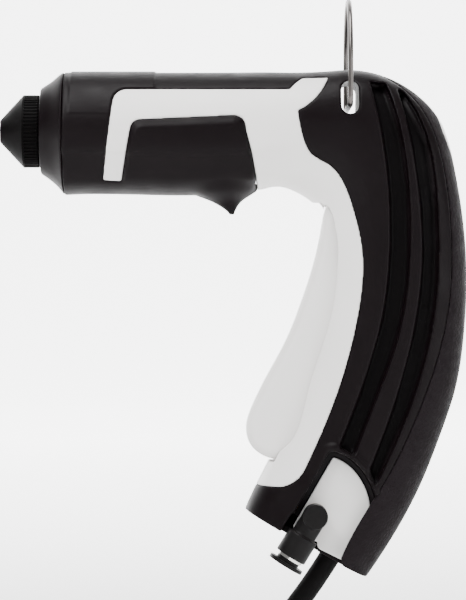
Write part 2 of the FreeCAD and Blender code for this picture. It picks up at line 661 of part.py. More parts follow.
def make_air_path():
    axis_z = -96.0
    body = fuse([rod_x(10.0, 32.0, 6.0, axis_z), rod_x(10.0, 13.0, 7.2, axis_z),
                 rod(V(21.0, 0, axis_z - 4), V(21.0, 0, axis_z - 8.5), 2.8),
                 rod(V(18.0, 0, axis_z + 4), V(18.0, 0, axis_z + 8.0), 2.2)])
    body = body.cut(rod_x(9.0, 14.0, 2.0 + RUNNING_GAP, axis_z)).cut(rod_x(13.9, 30.0, 4.2, axis_z))
    body = body.cut(rod(V(21.0, 0, axis_z), V(21.0, 0, axis_z - 9), 1.6))
    body = body.cut(rod(V(18.0, 0, axis_z), V(18.0, 0, axis_z + 9), 1.4))
    save("valve_body", body)
    plunger = fuse([rod_x(4.3, 17.0, 2.0, axis_z), rod_x(16.0, 20.0, 3.9, axis_z)])
    save("valve_plunger", plunger)
    save("valve_spring", coil_spring(V(20.7, 0, axis_z), V(1, 0, 0), 8.8, 2.8, 0.4, 5))
    hose = [V(-7.6, -4.6, -198.6), V(7.0, -4.6, -190.0), V(15.5, -4.6, -175.0), V(20.0, -4.0, -157.0),
            V(22.5, -3.0, -138.0), V(21.5, -1.0, -120.0), V(21.0, 0, -104.9)]
    save("supply_hose", tube_along(hose, 3.0, 1.7))
    spray = [V(-109.0, -11.65, -69.05), V(-49.0, -11.65, -69.05), V(-38.0, -12.2, -66.5),
             V(-24.0, -13.0, -60.5), V(3.0, -13.0, -60.5), V(14.0, -11.0, -70.0),
             V(17.0, -5.0, -79.0), V(18.0, 0, -83.5), V(18.0, 0, -87.7)]
    save("air_tube", tube_along(spray, 1.4, 0.9))


def make_air_inlet():
    """Stud through the plate, nut behind it, and the hose nipple inside."""
    stud = fuse([rod_y(STUD, -15.4, -3.2, 3.9), rod_y(STUD, -24.8, -15.3, 2.9)])
    nipple_dir = V(0.80, 0, 0.60)
    nipple_start = xz(STUD, -4.6)
    nipple = rod(nipple_start, nipple_start + nipple_dir * 7.0, 2.9)
    block = rod_y(STUD, -8.0, -1.4, 4.9)
    stud = fuse([stud, block, nipple])
    stud = stud.cut(rod(nipple_start, nipple_start + nipple_dir * 9.0, 1.5))
    stud = stud.cut(rod_y(STUD, -20.0, -4.0, 1.5))
    save("fitting_stud", stud)
    corners = []
    for step in range(6):
        angle = math.radians(60 * step)
        corners.append((STUD[0] + 6.6 * math.cos(angle), STUD[1] + 6.6 * math.sin(angle)))
    nut = polygon_prism(corners, PLATE_Y[1], -8.1)
    save("fitting_nut", nut.cut(rod_y(STUD, -20, 0, 3.9)))

    centre = xz(STUD, ELBOW_Y)
    head = rod_y(STUD, ELBOW_Y - 5.4, ELBOW_Y + 3.6, ELBOW_R)
    arm = rod(centre, centre + OUTLET_DIR * 12.0, ELBOW_R)
    collar = rod(centre + OUTLET_DIR * 9.0, centre + OUTLET_DIR * 18.6, COLLAR_R)
    elbow = fuse([head, arm, collar])
    elbow = elbow.cut(rod_y(STUD, -25.0, -10, 2.9 + RUNNING_GAP))
    elbow = elbow.cut(rod(centre + OUTLET_DIR * 10.2, centre + OUTLET_DIR * 20, 5.2))
    elbow = elbow.cut(rod(centre + OUTLET_DIR * 2, centre + OUTLET_DIR * 12, 2.0))
    elbow = elbow.cut(rod_y(STUD, -25.0, -10, 2.9 + RUNNING_GAP))
    save("elbow_body", elbow)
    collet = rod(centre + OUTLET_DIR * 12.4, centre + OUTLET_DIR * 19.6, 5.2)
    collet = collet.cut(rod(centre + OUTLET_DIR * 12, centre + OUTLET_DIR * 22, 4.75))
    save("collet_sleeve", collet)
    neck = rod(centre + OUTLET_DIR * 14.5, centre + OUTLET_DIR * 21.4, 4.7)
    flange = rod(centre + OUTLET_DIR * 21.2, centre + OUTLET_DIR * 22.6, RELEASE_R)
    release = fuse([neck, flange]).cut(rod(centre, centre + OUTLET_DIR * 30, AIR_TUBE_R + 0.1))
    save("release_ring", release)


def make_hang_ring():
    """Stiff wire loop through the slot, square below and arched above the gun."""
    x, z = RING_AXIS
    arch_z = RING_TOP_Z - RING_HALF
    sweeps = []
    for side in (-1, 1):
        leg_y = side * RING_HALF
        turn_y = side * (RING_HALF - RING_CORNER)
        k = RING_CORNER * (1 - math.sqrt(0.5))
        h = RING_HALF * math.sqrt(0.5)
        low = V(x, turn_y, z)
        wire = Part.Wire([
            Part.LineSegment(V(x, 0, z), low).toShape(),
            Part.Arc(low, V(x, leg_y - side * k, z + k), V(x, leg_y, z + RING_CORNER)).toShape(),
            Part.LineSegment(V(x, leg_y, z + RING_CORNER), V(x, leg_y, arch_z)).toShape(),
            Part.Arc(V(x, leg_y, arch_z), V(x, side * h, arch_z + h), V(x, 0, RING_TOP_Z)).toShape(),
        ])
        profile = Part.Wire(Part.makeCircle(RING_WIRE_R, V(x, 0, z), V(0, 1, 0)))
        sweeps.append(wire.makePipeShell([profile], True, False))
    save("hang_ring", fuse(sweeps))


def make_screws():
    screws = []
    for s in SCREWS:
        head = rod_y(s, SCREW_HEAD_Y, SCREW_HEAD_Y + 2.3, 2.9)
        recess = [rod_y(s, SCREW_HEAD_Y + 1.1, SCREW_HEAD_Y + 3, 0.9)]
        for dx, dz in ((1.7, 0.45), (0.45, 1.7)):
            recess.append(box(s[0] - dx, s[0] + dx, SCREW_HEAD_Y + 1.1, SCREW_HEAD_Y + 3,
                              s[1] - dz, s[1] + dz))
        screws.append(fuse([head, rod_y(s, -9.0, SCREW_HEAD_Y + 0.1, 1.5)]).cut(fuse(recess)))
    save("housing_screws", Part.Compound(screws))


def make_electrics():
    inward = FOOT_DIR * -1
    gland = fuse([rod(CORD_EXIT, CORD_EXIT + inward * 10.0, 7.0),
                  rod(CORD_EXIT + inward * 3.2, CORD_EXIT + inward * 6.2, 8.4)])
    save("cord_gland", gland.cut(rod(CORD_EXIT + FOOT_DIR * 2, CORD_EXIT + inward * 20, CORD_R)))
    middle = CORD_EXIT + inward * 15.0
    clamp = rod(middle - inward * 3, middle + inward * 3, 7.0)
    clamp = clamp.cut(rod(middle - inward * 5, middle + inward * 5, CORD_R))
    save("cord_clamp", clamp)
    block = box(10.5, 22.5, 4.0, 13.0, -172.0, -158.0)
    for x in (13.5, 19.5):
        block = block.cut(rod(V(x, 8.5, -175), V(x, 8.5, -150), 1.3))
        for z in (-169.0, -161.0):
            block = block.cut(Part.makeCylinder(1.5, 8, V(x, 12.0, z), V(0, 1, 0)))
    save("terminal_block", block)
    cord_end = CORD_EXIT + inward * CORD_INNER
    wires = []
    for index, x in enumerate((13.5, 19.5)):
        offset = V(0, 2.0 * index - 1.0, 0)
        start = cord_end + inward * 0.4 + offset
        wires.append(tube_along([start, start + inward * 7,
                                 V(x, 8.5, -178.0), V(x, 8.5, -170.0)], 0.9))
        y = 12.6
        top = V(x, 8.5, -162.0)
        wires.append(tube_along([top, V(x, 8.8, -150.0), V(x + 2, y, -125.0), V(x + 1, y, -96.0),
                                 V(x - 9, y, -70.0 + 2.4 * index), V(-20.0, y - 0.2, -61.5 + 2.4 * index),
                                 V(-47.6, 12.0, -61.5 + 2.4 * index)], 0.9))
    save("lead_wires", Part.Compound(wires))


CORD_ROUTE = [
    CORD_EXIT - FOOT_DIR * CORD_INNER,
    CORD_EXIT + FOOT_DIR * 18,
    V(-42.1, 4.5, -263.3),
    V(-66.9, 4.5, -272.3),
    V(-91.9, 4.5, -272.3),
]
TAIL_ROUTE = [
    V(-91.9, 117.7, -280.9),
    V(-71.0, 117.7, -280.9),
    V(-46.0, 111.5, -280.7),
    V(-23.6, 94.7, -279.6),
    V(-11.65, 83.45, -275.2),
]
PLUG_START = TAIL_ROUTE[-1]
PLUG_DIR = V(0.703, -0.662, 0.259)


def make_cord():
    save("cord_run", tube_along(CORD_ROUTE, CORD_R, report="cord_run"))
    save("cord_tail", tube_along(TAIL_ROUTE, CORD_R, report="cord_tail"))
    inner = COIL_TURNS_R[0] - CORD_R
    outer = COIL_TURNS_R[-1] + CORD_R
    base = V(COIL_CENTRE[0], COIL_CENTRE[1], FLOOR_Z)
    height = 2 * CORD_R * COIL_LAYERS
    coil = Part.makeCylinder(outer, height, base).cut(Part.makeCylinder(inner, height, base))
    save("cord_coil", coil)
    turns = 2 * math.pi * sum(COIL_TURNS_R) * COIL_LAYERS
    print(f"coil: {turns:.0f} mm of cord in {len(COIL_TURNS_R) * COIL_LAYERS} turns")
    middle_x = COIL_CENTRE[0] - (inner + outer) / 2
    half = (outer - inner) / 2 + 1.2
    band = box(middle_x - half, middle_x + half, COIL_CENTRE[1] - 5, COIL_CENTRE[1] + 5,
               FLOOR_Z, FLOOR_Z + height + 1.2)
    hole = Part.makeCylinder(outer, height, base).cut(Part.makeCylinder(inner, height, base))
    save("coil_tie", band.cut(hole))


def make_plug():
    """Two-pin earthed plug body, turned about its own axis, lying on its flange and tail."""
    unit = V(PLUG_DIR).normalize()
    profile = [(0, 0), (0, 6.2), (14, 7.4), (24, 11.0), (30, 15.5), (34, 18.2), (38, 18.9), (48, 18.9),
               (49.5, 17.6), (49.5, 0)]
    face = Part.Face(Part.makePolygon([V(r, 0, s) for s, r in profile] + [V(0, 0, 0)]))
    body = face.revolve(V(0, 0, 0), V(0, 0, 1), 360)
    body = body.cut(Part.makeCylinder(CORD_R, 10, V(0, 0, -2)))
    rotation = FreeCAD.Rotation(V(0, 0, 1), unit)
    pins = []
    for side in (-1, 1):
        pin = Part.makeCylinder(PLUG_PIN_R, PLUG_PIN_LENGTH - 1, V(0, side * PLUG_PIN_PITCH / 2, 49.5))
        tip = Part.makeCone(PLUG_PIN_R, PLUG_PIN_R - 0.8, 1.0,
                            V(0, side * PLUG_PIN_PITCH / 2, 49.5 + PLUG_PIN_LENGTH - 1))
        pins.append(fuse([pin, tip]))
    pins = Part.Compound(pins)
    for shape in (body, pins):
        shape.Placement = FreeCAD.Placement(PLUG_START - unit * 6, rotation)
    save("plug_body", body)
    save("plug_pins", pins)


def main():
    os.makedirs("parts", exist_ok=True)
    make_body()
    make_connector_plate()
    make_nose()
    tip = make_cap()
    make_nozzle(tip)
    make_chamber()
    make_feed()
    make_trigger()
    make_air_path()
    make_air_inlet()
    make_hang_ring()
    make_screws()
    make_electrics()
    make_cord()
    make_plug()


main()
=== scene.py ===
import json
import math

import bmesh
import bpy
import numpy as np
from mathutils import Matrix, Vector


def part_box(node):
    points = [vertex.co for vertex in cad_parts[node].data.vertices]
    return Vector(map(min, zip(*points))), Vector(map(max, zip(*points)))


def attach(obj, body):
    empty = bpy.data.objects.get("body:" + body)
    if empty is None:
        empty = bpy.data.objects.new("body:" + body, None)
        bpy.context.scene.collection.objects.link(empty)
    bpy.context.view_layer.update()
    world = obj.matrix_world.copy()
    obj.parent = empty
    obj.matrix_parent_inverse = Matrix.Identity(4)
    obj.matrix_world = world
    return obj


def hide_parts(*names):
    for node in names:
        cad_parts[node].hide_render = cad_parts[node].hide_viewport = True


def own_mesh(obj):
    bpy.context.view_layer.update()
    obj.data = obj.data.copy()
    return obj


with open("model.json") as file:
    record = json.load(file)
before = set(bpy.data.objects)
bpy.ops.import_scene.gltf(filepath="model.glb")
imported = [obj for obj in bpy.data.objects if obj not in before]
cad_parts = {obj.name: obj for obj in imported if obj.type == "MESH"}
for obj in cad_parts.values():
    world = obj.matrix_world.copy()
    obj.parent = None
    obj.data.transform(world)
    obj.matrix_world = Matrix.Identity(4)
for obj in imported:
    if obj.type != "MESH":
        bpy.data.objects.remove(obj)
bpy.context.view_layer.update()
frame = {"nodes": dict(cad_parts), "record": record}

NODES = frame["nodes"]
RECORD = frame["record"]
SLOT_OF = {part["node"]: part["material_slot"] for part in RECORD["subparts"]}
BODY_OF = {node: body for body, group in RECORD["behaviour"]["bodies"].items() for node in group}
MM = 0.001


def mm(x, y, z):
    return Vector((x * MM, y * MM, z * MM))


# ---------------------------------------------------------------- camera

CAMERA_AIM = mm(-46.0, 0.0, -118.2)
CAMERA_DISTANCE = 1.10
PICTURE_HEIGHT = 0.240


def make_camera():
    data = bpy.data.cameras.new("camera")
    data.sensor_width = 36.0
    data.lens = 36.0 * CAMERA_DISTANCE / PICTURE_HEIGHT
    data.clip_start = 0.05
    data.clip_end = 60.0
    camera = bpy.data.objects.new("camera", data)
    bpy.context.scene.collection.objects.link(camera)
    camera.location = CAMERA_AIM + Vector((0.0, -CAMERA_DISTANCE, 0.0))
    camera.rotation_euler = (math.radians(90.0), 0.0, 0.0)
    bpy.context.scene.camera = camera


make_camera()

# ---------------------------------------------------------------- materials


def new_material(name):
    material = bpy.data.materials.new(name)
    material.use_nodes = True
    tree = material.node_tree
    shader = tree.nodes["Principled BSDF"]
    return material, tree, shader


def noise(tree, scale, detail=4.0, stretch=None):
    """Noise in object coordinates, optionally stretched along one axis."""
    coords = tree.nodes.new("ShaderNodeTexCoord")
    texture = tree.nodes.new("ShaderNodeTexNoise")
    texture.inputs["Scale"].default_value = scale
    texture.inputs["Detail"].default_value = detail
    if stretch is None:
        tree.links.new(coords.outputs["Object"], texture.inputs["Vector"])
    else:
        mapping = tree.nodes.new("ShaderNodeMapping")
        mapping.inputs["Scale"].default_value = stretch
        tree.links.new(coords.outputs["Object"], mapping.inputs["Vector"])
        tree.links.new(mapping.outputs["Vector"], texture.inputs["Vector"])
    return texture.outputs["Fac"]


def spread(tree, value, low, high, from_low=0.3, from_high=0.7):
    """Map a noise value onto a range."""
    node = tree.nodes.new("ShaderNodeMapRange")
    node.inputs["From Min"].default_value = from_low
    node.inputs["From Max"].default_value = from_high
    node.inputs["To Min"].default_value = low
    node.inputs["To Max"].default_value = high
    tree.links.new(value, node.inputs["Value"])
    return node.outputs["Result"]


def tint(tree, shader, color, amount, value):
    """Base colour that wanders by amount with a noise value."""
    mix = tree.nodes.new("ShaderNodeMix")
    mix.data_type = "RGBA"
    darker = [c * (1.0 - amount) for c in color[:3]] + [1.0]
    lighter = [min(1.0, c * (1.0 + amount)) for c in color[:3]] + [1.0]
    mix.inputs["A"].default_value = darker
    mix.inputs["B"].default_value = lighter
    tree.links.new(value, mix.inputs["Factor"])
    tree.links.new(mix.outputs["Result"], shader.inputs["Base Color"])


def bump(tree, shader, layers):
    """Chain of bump layers, each (height value, strength, distance in metres)."""
    previous = None
    for height, strength, distance in layers:
        node = tree.nodes.new("ShaderNodeBump")
        node.inputs["Strength"].default_value = strength
        node.inputs["Distance"].default_value = distance
        tree.links.new(height, node.inputs["Height"])
        if previous is not None:
            tree.links.new(previous, node.inputs["Normal"])
        previous = node.outputs["Normal"]
    tree.links.new(previous, shader.inputs["Normal"])


def cells(tree, scale, stretch=(1.0, 1.0, 1.0)):
    """Distance to the edge of leather-like cells."""
    coords = tree.nodes.new("ShaderNodeTexCoord")
    mapping = tree.nodes.new("ShaderNodeMapping")
    mapping.inputs["Scale"].default_value = stretch
    texture = tree.nodes.new("ShaderNodeTexVoronoi")
    texture.feature = "DISTANCE_TO_EDGE"
    texture.inputs["Scale"].default_value = scale
    tree.links.new(coords.outputs["Object"], mapping.inputs["Vector"])
    tree.links.new(mapping.outputs["Vector"], texture.inputs["Vector"])
    return texture.outputs["Distance"]


def moulded(name, color, rough=(0.38, 0.50), grain=2600.0, grain_strength=0.12,
            specular=0.5, wander=0.10):
    """Moulded plastic: fine spark-eroded grain, faint flow marks, uneven gloss."""
    material, tree, shader = new_material(name)
    broad = noise(tree, 35.0, 3.0)
    fine = noise(tree, grain, 5.0)
    tint(tree, shader, color, wander, broad)
    tree.links.new(spread(tree, noise(tree, 120.0, 5.0), rough[0], rough[1]), shader.inputs["Roughness"])
    shader.inputs["Specular IOR Level"].default_value = specular
    bump(tree, shader, [(broad, 0.05, 0.0006), (fine, grain_strength, 0.00008)])
    return material


def grained_rubber(name, color, cell_scale=620.0, strength=0.55, rough=(0.55, 0.72),
                   specular=0.22):
    """Soft rubber with leather grain broken up by noise."""
    material, tree, shader = new_material(name)
    broad = noise(tree, 45.0, 3.0)
    tint(tree, shader, color, 0.18, broad)
    tree.links.new(spread(tree, noise(tree, 300.0, 4.0), rough[0], rough[1]), shader.inputs["Roughness"])
    shader.inputs["Specular IOR Level"].default_value = specular
    wrinkles = spread(tree, cells(tree, cell_scale, (1.0, 1.0, 0.8)), 0.0, 1.0, 0.0, 0.22)
    bump(tree, shader, [(wrinkles, strength, 0.00018), (noise(tree, 2200.0, 4.0), 0.25, 0.00006)])
    return material


def metal(name, color, rough=(0.22, 0.34), brushed=(1.0, 1.0, 1.0), strength=0.10, scale=900.0):
    """Metal with directional tool marks."""
    material, tree, shader = new_material(name)
    marks = noise(tree, scale, 6.0, brushed)
    tint(tree, shader, color, 0.06, noise(tree, 60.0, 3.0))
    tree.links.new(spread(tree, marks, rough[0], rough[1]), shader.inputs["Roughness"])
    shader.inputs["Metallic"].default_value = 1.0
    bump(tree, shader, [(marks, strength, 0.00005)])
    return material


def woven(name, color, scale=900.0):
    """Woven tape or cloth: two crossed wave textures."""
    material, tree, shader = new_material(name)
    coords = tree.nodes.new("ShaderNodeTexCoord")
    layers = []
    for direction in ("X", "Z"):
        wave = tree.nodes.new("ShaderNodeTexWave")
        wave.bands_direction = direction
        wave.inputs["Scale"].default_value = scale
        wave.inputs["Distortion"].default_value = 1.2
        tree.links.new(coords.outputs["Object"], wave.inputs["Vector"])
        layers.append((wave.outputs["Fac"], 0.5, 0.00015))
    tint(tree, shader, color, 0.2, noise(tree, 300.0, 4.0))
    shader.inputs["Roughness"].default_value = 0.85
    bump(tree, shader, layers)
    return material


def clear_tube(name, color):
    material, tree, shader = new_material(name)
    tint(tree, shader, color, 0.05, noise(tree, 80.0, 3.0))
    tree.links.new(spread(tree, noise(tree, 200.0, 3.0), 0.15, 0.28), shader.inputs["Roughness"])
    shader.inputs["Transmission Weight"].default_value = 0.5
    bump(tree, shader, [(noise(tree, 500.0, 3.0), 0.08, 0.00005)])
    return material


def housing_plastic(name, color):
    """Black moulding with painted shade on the floor of the grip grooves: darker base colour and weaker
    specular there.
    """
    material = moulded(name, color, (0.38, 0.50), 2400.0, 0.14, 0.08)
    tree = material.node_tree
    shader = tree.nodes["Principled BSDF"]
    painted_groove_shade = tree.nodes.new("ShaderNodeAttribute")
    painted_groove_shade.attribute_name = "painted_groove_shade"
    mix = tree.nodes.new("ShaderNodeMix")
    mix.data_type = "RGBA"
    tree.links.new(painted_groove_shade.outputs["Fac"], mix.inputs["Factor"])
    tree.links.new(shader.inputs["Base Color"].links[0].from_socket, mix.inputs["A"])
    # painted shade: near-black base colour on the groove floors
    mix.inputs["B"].default_value = (0.0022, 0.0018, 0.0020, 1.0)
    tree.links.new(mix.outputs["Result"], shader.inputs["Base Color"])
    # painted shade: weaker specular on the groove floors
    level = spread(tree, painted_groove_shade.outputs["Fac"], 0.08, 0.03, 0.0, 1.0)
    tree.links.new(level, shader.inputs["Specular IOR Level"])
    return material


WHITE = (0.74, 0.725, 0.71)
INLET_WHITE = (0.72, 0.71, 0.70)
BLACK = (0.0028, 0.0015, 0.0020)
FITTING_BLACK = (0.0026, 0.0021, 0.0022)
CAP_BLACK = (0.0014, 0.0011, 0.0012)
CORD_BLACK = (0.002, 0.0017, 0.0018)
PLUG_BLACK = (0.012, 0.0105, 0.011)
SPINE_BLACK = (0.0062, 0.0042, 0.0052)
WIRE_STEEL = (0.13, 0.12, 0.115)
NOZZLE_STEEL = (0.60, 0.58, 0.56)


def white_plastic(name, color, rough):
    return moulded(name, color, rough, 2200.0, 0.14, 0.5, 0.02)


def black_plastic(name, color, rough, specular):
    return moulded(name, color, rough, 2600.0, 0.2, specular)


def smooth_rubber(name, color, cell_scale):
    return grained_rubber(name, color, cell_scale, 0.2, (0.5, 0.65), 0.06)


def make_materials():
    """One finish for every material slot of the record."""
    made = {}
    special = {
        "housing_black": lambda n, c: housing_plastic(n, BLACK),
        "cover_white": lambda n, c: white_plastic(n, WHITE, (0.42, 0.54)),
        "trigger_white": lambda n, c: white_plastic(n, WHITE, (0.42, 0.54)),
        "plate_white": lambda n, c: white_plastic(n, WHITE, (0.40, 0.52)),
        "inlet_white": lambda n, c: white_plastic(n, INLET_WHITE, (0.40, 0.52)),
        "terminal_white": lambda n, c: moulded(n, c, (0.35, 0.45), 2200.0, 0.12, 0.5, 0.03),
        "nose_black": lambda n, c: moulded(n, BLACK, (0.38, 0.50), 2400.0, 0.14, 0.08),
        "cap_black": lambda n, c: black_plastic(n, CAP_BLACK, (0.45, 0.58), 0.03),
        "elbow_black": lambda n, c: black_plastic(n, FITTING_BLACK, (0.38, 0.50), 0.12),
        "release_black": lambda n, c: black_plastic(n, FITTING_BLACK, (0.38, 0.50), 0.12),
        "grip_rubber": lambda n, c: grained_rubber(n, SPINE_BLACK, specular=0.08),
        "cord_rubber": lambda n, c: smooth_rubber(n, CORD_BLACK, 1500.0),
        "gland_rubber": lambda n, c: smooth_rubber(n, CORD_BLACK, 900.0),
        "plug_rubber": lambda n, c: grained_rubber(n, PLUG_BLACK, 900.0, 0.25, (0.45, 0.6)),
        "tie_fabric": woven,
        "insulation": woven,
        "tube_clear": clear_tube,
        "ring_steel": lambda n, c: metal(n, WIRE_STEEL, (0.26, 0.38), (1.0, 1.0, 0.1)),
        "nozzle_steel": lambda n, c: metal(n, NOZZLE_STEEL, (0.2, 0.34), (1.0, 0.1, 0.1)),
    }
    for entry in RECORD["materials"]:
        name, color, kind = entry["slot"], tuple(entry["base_color"][:3]), entry["class"]
        if name in special:
            made[name] = special[name](name, color)
        elif kind in ("brushed_steel", "chrome", "aluminium", "brass"):
            rough = (0.10, 0.18) if kind == "chrome" else (0.24, 0.36)
            made[name] = metal(name, color, rough)
        elif kind == "rubber":
            made[name] = grained_rubber(name, color, 1500.0, 0.2, (0.45, 0.6))
        else:
            made[name] = moulded(name, color)
    return made


MATERIALS = make_materials()
for node_name, node in NODES.items():
    node.data.materials.clear()
    node.data.materials.append(MATERIALS[SLOT_OF[node_name]])

# ---------------------------------------------------------------- cord

CORD_D = 8.6
FOOT = Vector((-0.4895, 0.0, -0.8720))
CORD_EXIT = Vector((-6.4, 4.5, -220.7))
COIL_CENTRE = Vector((-91.9, 61.1, 0.0))
COIL_START_R = 56.6
COIL_STEP = 8.8
TOP_Z = -272.2
LAYER_DROP = 8.7
TURN = 360.0
SHIFT = 120.0
COIL_TURNS = 5.5
POINTS_PER_TURN = 15


def ramp(angle, start, end):
    """0 before the start, 1 after the end, smooth between."""
    t = min(1.0, max(0.0, (angle - start) / (end - start)))
    return t * t * (3.0 - 2.0 * t)


def coil_points():
    """Two layers: inwards on top, down at the middle, outwards below."""
    points = []
    step = TURN / POINTS_PER_TURN
    angle = step / 2
    while angle < COIL_TURNS * TURN:
        inward = sum(ramp(angle, turn * TURN - SHIFT, turn * TURN) for turn in (1, 2))
        outward = sum(ramp(angle, turn * TURN + SHIFT, turn * TURN + 2 * SHIFT) for turn in (3, 4))
        radius = COIL_START_R - COIL_STEP * (inward - outward)
        height = TOP_Z - LAYER_DROP * ramp(angle, 3 * TURN - SHIFT, 3 * TURN)
        radius /= math.cos(math.radians(step / 2))
        a = math.radians(-90.0 - angle)
        points.append(Vector((COIL_CENTRE.x + radius * math.cos(a),
                              COIL_CENTRE.y + radius * math.sin(a), height)))
        angle += step
    return points


def make_cord():
    route = [CORD_EXIT - FOOT * 20.0, CORD_EXIT + FOOT * 18.0,
             Vector((-42.1, 4.5, -263.3)), Vector((-66.9, 4.5, TOP_Z))]
    route += coil_points()
    route += [Vector((-71.0, 117.7, -280.9)), Vector((-46.0, 111.5, -280.7)),
              Vector((-23.6, 94.7, -279.6)), Vector((-11.65, 83.45, -275.2))]
    curve = bpy.data.curves.new("mains_cord", "CURVE")
    curve.dimensions = "3D"
    spline = curve.splines.new("NURBS")
    spline.points.add(len(route) - 1)
    for point, place in zip(spline.points, route):
        point.co = (*(place * MM), 1.0)
    spline.order_u = 3
    spline.use_endpoint_u = True
    spline.resolution_u = 8
    curve.bevel_depth = CORD_D / 2 * MM
    curve.bevel_resolution = 6
    curve.use_fill_caps = True
    curve.materials.append(MATERIALS["cord_rubber"])
    cord = bpy.data.objects.new("mains_cord", curve)
    bpy.context.scene.collection.objects.link(cord)
    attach(cord, "housing")
    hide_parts("cord_run", "cord_coil", "cord_tail")


make_cord()

# ---------------------------------------------------------------- rounded skins of the moulded pieces


def points_of(mesh):
    flat = np.zeros(len(mesh.vertices) * 3)
    mesh.vertices.foreach_get("co", flat)
    return flat.reshape(-1, 3) / MM


def normals_of(mesh):
    flat = np.zeros(len(mesh.vertices) * 3)
    mesh.vertices.foreach_get("normal", flat)
    return flat.reshape(-1, 3)


def store_points(mesh, points):
    mesh.vertices.foreach_set("co", (points * MM).ravel())
    mesh.update()


def evaluated_copy(obj):
    graph = bpy.context.evaluated_depsgraph_get()
    return bpy.data.meshes.new_from_object(obj.evaluated_get(graph), depsgraph=graph)


RELAX_ROUNDS = 60
RELAX_STEP = 0.6


def relax(mesh, points, weight):
    """Average the weighted points with their neighbours, round after round."""
    flat = np.zeros(len(mesh.edges) * 2, dtype=np.int64)
    mesh.edges.foreach_get("vertices", flat)
    edges = flat.reshape(-1, 2)
    edges = edges[(weight[edges] > 0).any(axis=1)]
    one, other = np.concatenate([edges, edges[:, ::-1]]).T
    count = np.maximum(np.bincount(one, minlength=len(points)), 1)
    for _ in range(RELAX_ROUNDS):
        for axis in range(3):
            total = np.bincount(one, weights=points[other, axis], minlength=len(points))
            points[:, axis] += weight * (total / count - points[:, axis]) * RELAX_STEP
    return points


def rounded(node, voxel, smooth, shape=None, relaxed=None, painted_groove_shade=None):
    """Finely meshed copy of a CAD node with softened edges, shaped further by functions of its points."""
    source = bpy.data.objects.new(f"{node}_work", NODES[node].data.copy())
    bpy.context.scene.collection.objects.link(source)
    remesh = source.modifiers.new("remesh", "REMESH")
    remesh.mode = "VOXEL"
    remesh.voxel_size = voxel * MM
    soften = source.modifiers.new("soften", "SMOOTH")
    soften.factor = 0.5
    soften.iterations = smooth
    mesh = evaluated_copy(source)
    bpy.data.objects.remove(source)
    if relaxed is not None:
        points = points_of(mesh)
        store_points(mesh, relax(mesh, points, relaxed(points)))
    # painted shade mask for the groove floors, stored as a point attribute for the housing material
    if painted_groove_shade is not None:
        depth = painted_groove_shade(points_of(mesh), normals_of(mesh))
        mesh.attributes.new("painted_groove_shade", "FLOAT", "POINT").data.foreach_set("value", depth)
    if shape is not None:
        points, normals = points_of(mesh), normals_of(mesh)
        store_points(mesh, shape(points, normals))
    mesh.materials.clear()
    mesh.materials.append(MATERIALS[SLOT_OF[node]])
    mesh.polygons.foreach_set("use_smooth", [True] * len(mesh.polygons))
    mesh.name = f"{node}_skin"
    skin = bpy.data.objects.new(f"{node}_skin", mesh)
    bpy.context.scene.collection.objects.link(skin)
    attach(skin, BODY_OF[node])
    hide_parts(node)
    return skin


def smoothstep(x, low, high):
    t = np.clip((x - low) / (high - low), 0.0, 1.0)
    return t * t * (3.0 - 2.0 * t)


def inside_depth(points, outline):
    """Signed distance in the side view to a closed outline, positive inside."""
    corners = np.array(outline)
    ahead = np.roll(corners, -1, axis=0)
    p = points[:, [0, 2]]
    best = np.full(len(p), 1e9)
    inside = np.zeros(len(p), bool)
    for (x0, z0), (x1, z1) in zip(corners, ahead):
        edge = np.array([x1 - x0, z1 - z0])
        t = np.clip(((p - (x0, z0)) @ edge) / (edge @ edge), 0.0, 1.0)
        nearest = np.array([x0, z0]) + t[:, None] * edge
        best = np.minimum(best, np.linalg.norm(p - nearest, axis=1))
        crosses = (z0 > p[:, 1]) != (z1 > p[:, 1])
        slope = (x1 - x0) / (z1 - z0) if z1 != z0 else 0.0
        inside ^= crosses & (p[:, 0] < x0 + (p[:, 1] - z0) * slope)
    return np.where(inside, best, -best)


PANEL = [(-90.1, -71.2), (-86.4, -51.0), (-85.2, -48.5), (-82.2, -47.4), (-45.4, -45.7), (-42.2, -47.2),
         (-40.9, -51.2), (-38.6, -60.3), (-36.2, -73.4), (-36.2, -84.0), (-90.1, -84.0)]
GROOVES = [
    [(7.8, -31.8), (12.4, -52.6), (14.3, -66.0), (15.4, -78.9), (15.6, -98.0), (14.5, -112.5),
     (12.4, -126.1), (3.9, -154.7), (-4.6, -176.5), (1.4, -180.2), (9.1, -160.1), (15.4, -143.5),
     (20.3, -127.2), (22.8, -112.5), (23.6, -98.0), (23.2, -73.7), (20.3, -52.6), (14.4, -32.5)],
    [(18.9, -34.4), (24.2, -56.5), (27.7, -81.6), (28.4, -100.0), (27.3, -116.0), (24.8, -131.2),
     (17.0, -160.1), (7.1, -186.2), (9.8, -192.0), (22.9, -162.6), (28.2, -147.0), (32.0, -131.2),
     (34.3, -116.0), (35.0, -100.0), (34.6, -81.6), (31.4, -56.5), (21.6, -35.7)],
]
PLATE = [(-6.5, -180.3), (-22.2, -207.4), (-20.8, -209.9), (-12.6, -213.6), (-12.4, -215.9),
         (-10.8, -217.1), (0.0, -222.4), (4.6, -214.1), (8.0, -203.4), (8.0, -198.7),
         (4.6, -189.4), (-1.0, -183.0)]
GROOVE_EXTRA = 1.2
PANEL_RISE = 1.0
PAD_X = (-111.0, -76.5)
PAD_RISE = 0.45
PAD_STEP = 0.8
RIM_RISE = 0.8
COVER_RISE = 0.25


def facing_out(points, normals):
    """How far a point of the outer side faces sideways, 0 for the inner side."""
    outward = normals[:, 1] * np.sign(points[:, 1])
    return np.where(np.abs(points[:, 1]) > 7.0, outward, 0.0)


